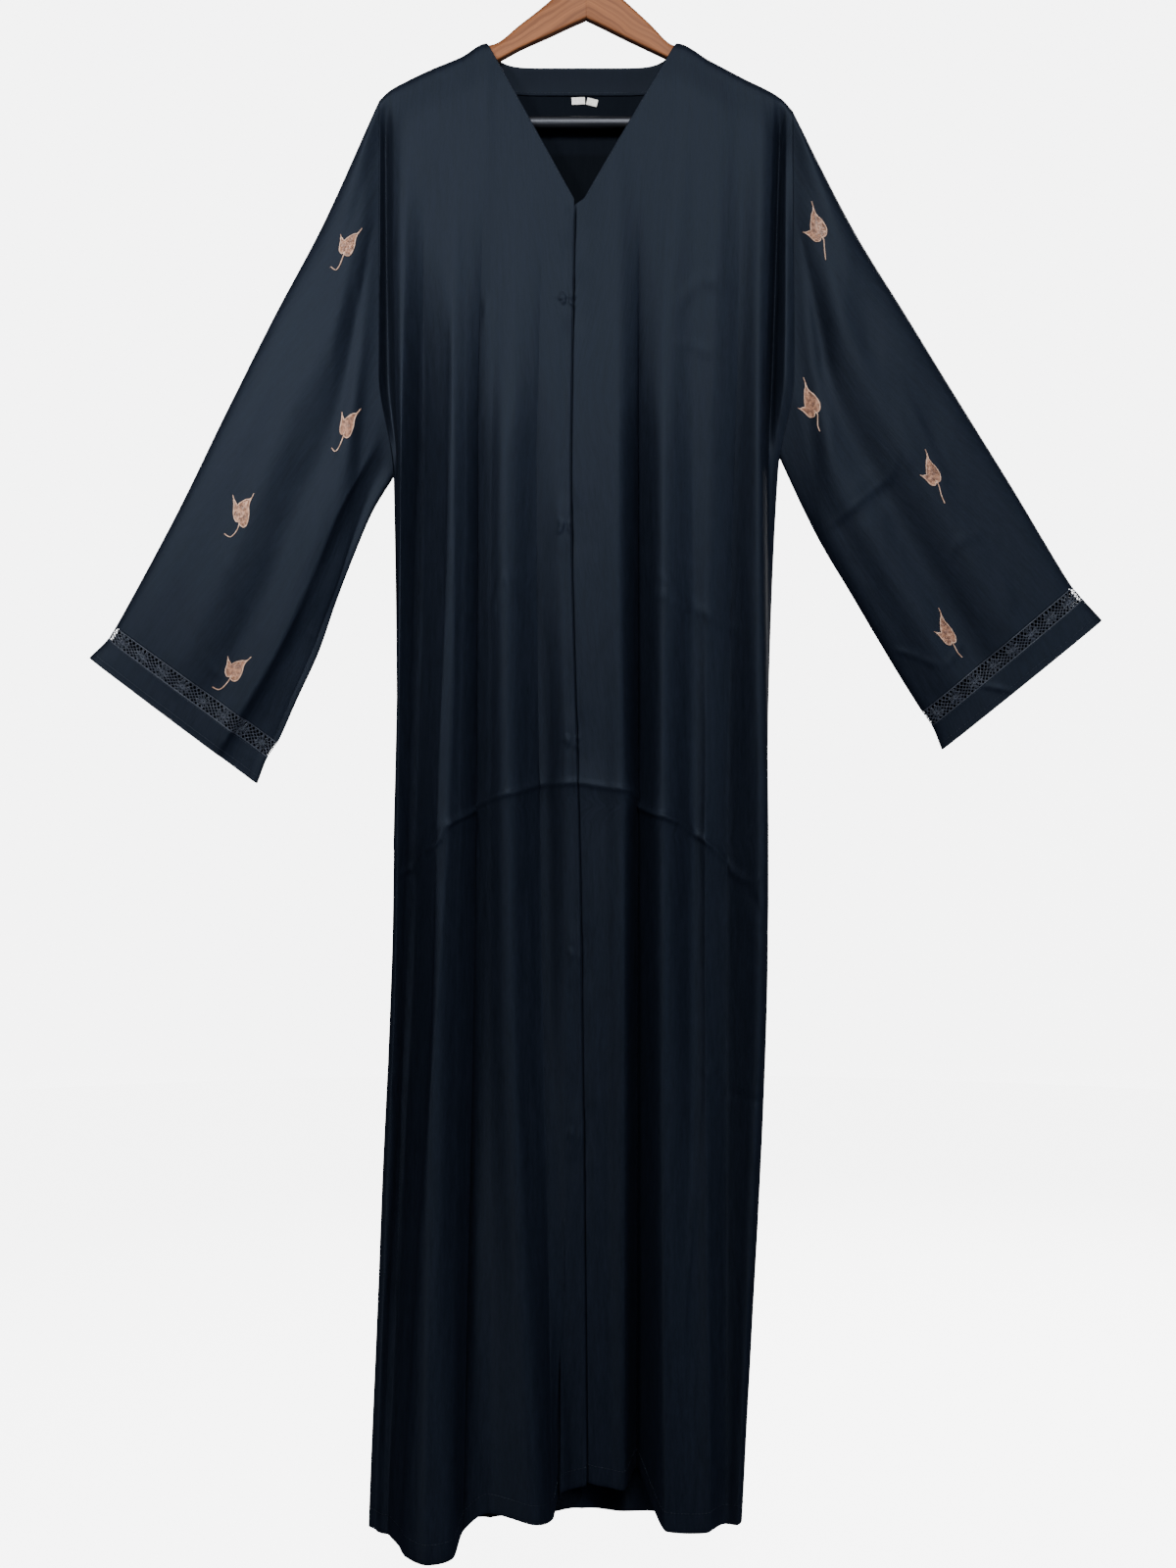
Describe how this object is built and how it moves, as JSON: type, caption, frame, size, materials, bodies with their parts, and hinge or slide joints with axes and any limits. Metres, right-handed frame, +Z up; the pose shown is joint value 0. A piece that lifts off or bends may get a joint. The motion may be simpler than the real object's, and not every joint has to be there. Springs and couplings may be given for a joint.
{
  "type": "abaya cloak on a wooden hanger",
  "caption": "Long black open-fronted abaya with wide sleeves, lace-trimmed cuffs and a press-stud front, hanging in soft folds on a wooden hanger with a steel hook and bar.",
  "frame": {"origin": "the hook seat, where the hanger's hook rests on its rail", "axes": "+Z up, +X to the wearer's left, -Y the garment's front"},
  "size_m": [0.9849, 0.133, 1.5959],
  "materials": {
    "black_cloth": "crinkled satin crepe, soft sheen",
    "black_lace": "corded net lace",
    "white_tape": "blank woven tape",
    "stud_metal": "dark lacquered",
    "red_wood": "stained and varnished",
    "bar_metal": "dull grey",
    "hook_metal": "bright"
  },
  "bodies": {
    "root": {"front_right": "black_cloth", "front_left": "black_cloth", "back": "black_cloth", "back_neck_facing": "black_cloth", "sleeve_right": "black_cloth", "sleeve_left": "black_cloth", "cuff_right": "black_cloth", "cuff_left": "black_cloth", "lace_right_front": "black_lace", "lace_right_back": "black_lace", "lace_left_front": "black_lace", "lace_left_back": "black_lace", "neck_label_size": "white_tape", "neck_label_care": "white_tape", "press_stud_1": "stud_metal", "press_stud_2": "stud_metal", "press_stud_3": "stud_metal", "press_stud_4": "stud_metal", "press_stud_5": "stud_metal", "press_stud_6": "stud_metal", "hanger_arm_right": "red_wood", "hanger_arm_left": "red_wood", "hanger_bar": "bar_metal", "hanger_hook": "hook_metal"}
  },
  "joints": []
}
